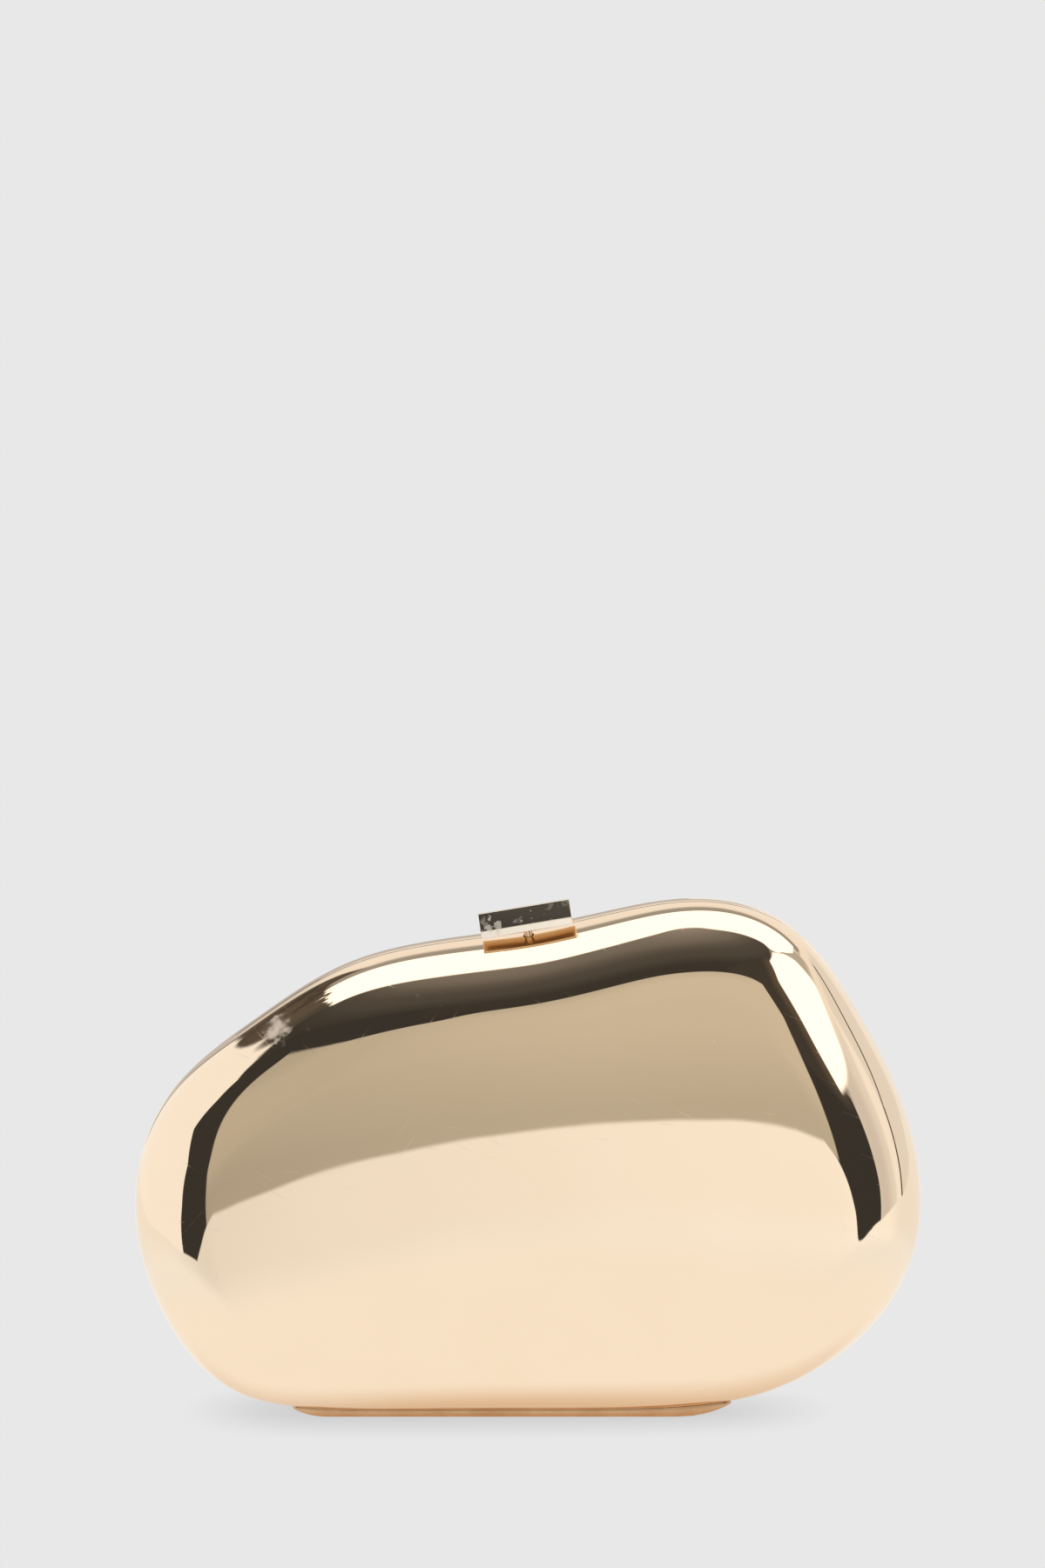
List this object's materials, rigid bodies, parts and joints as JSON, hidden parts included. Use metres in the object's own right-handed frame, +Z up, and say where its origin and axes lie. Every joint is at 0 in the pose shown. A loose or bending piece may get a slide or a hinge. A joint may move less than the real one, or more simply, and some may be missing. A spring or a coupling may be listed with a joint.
{
  "type": "minaudiere",
  "caption": "Hard-shell evening clutch of two mirror-polished pebble-shaped halves, hinged along the bottom and held shut by a push-button bar clasp.",
  "frame": {"origin": "middle of the closed clutch in X and Y, on the table plane under the foot rails", "axes": "+X along the clutch toward its deeper end, +Y from the front half to the back half, +Z up from the table"},
  "size_m": [0.2, 0.0522, 0.1369],
  "materials": {
    "polished_shell": "mirror-polished pale rose-gold plate with faint scratches",
    "satin_metal": "satin gold plate",
    "clasp_mirror": "mirror-polished darker gold plate",
    "fasteners": "plain turned brass",
    "latch_steel": "bright spring steel",
    "lining": "padded satin, neutral"
  },
  "bodies": {
    "back": {"back_shell": "polished_shell", "back_frame": "satin_metal", "back_collar": "satin_metal", "back_lining": "lining", "back_hinge_rail": "satin_metal", "back_rail_rivets": "fasteners", "hinge_pin": "latch_steel", "striker": "latch_steel", "striker_studs": "fasteners"},
    "front": {"front_shell": "polished_shell", "front_frame": "satin_metal", "front_lining": "lining", "front_hinge_rail": "satin_metal", "front_rail_rivets": "fasteners", "latch_housing": "latch_steel", "housing_studs": "fasteners", "guide_bush": "fasteners", "latch_spring": "latch_steel"},
    "button": {"clasp_bar": "clasp_mirror", "clasp_stem": "satin_metal", "latch_bolt": "latch_steel", "retaining_clip": "latch_steel"}
  },
  "joints": [
    {"name": "shell_hinge", "type": "hinge", "parent": "back", "child": "front", "pos_m": [0, 0, 0.0017], "axis": [1, 0, 0], "range_deg": [0, 90]},
    {"name": "button_press", "type": "slide", "parent": "front", "child": "button", "axis": [0.1704, 0, -0.9854], "range_m": [0, 0.0011], "stiffness_N_per_m": 2000, "springref_m": -0.0005, "deforming": ["latch_spring"]}
  ]
}
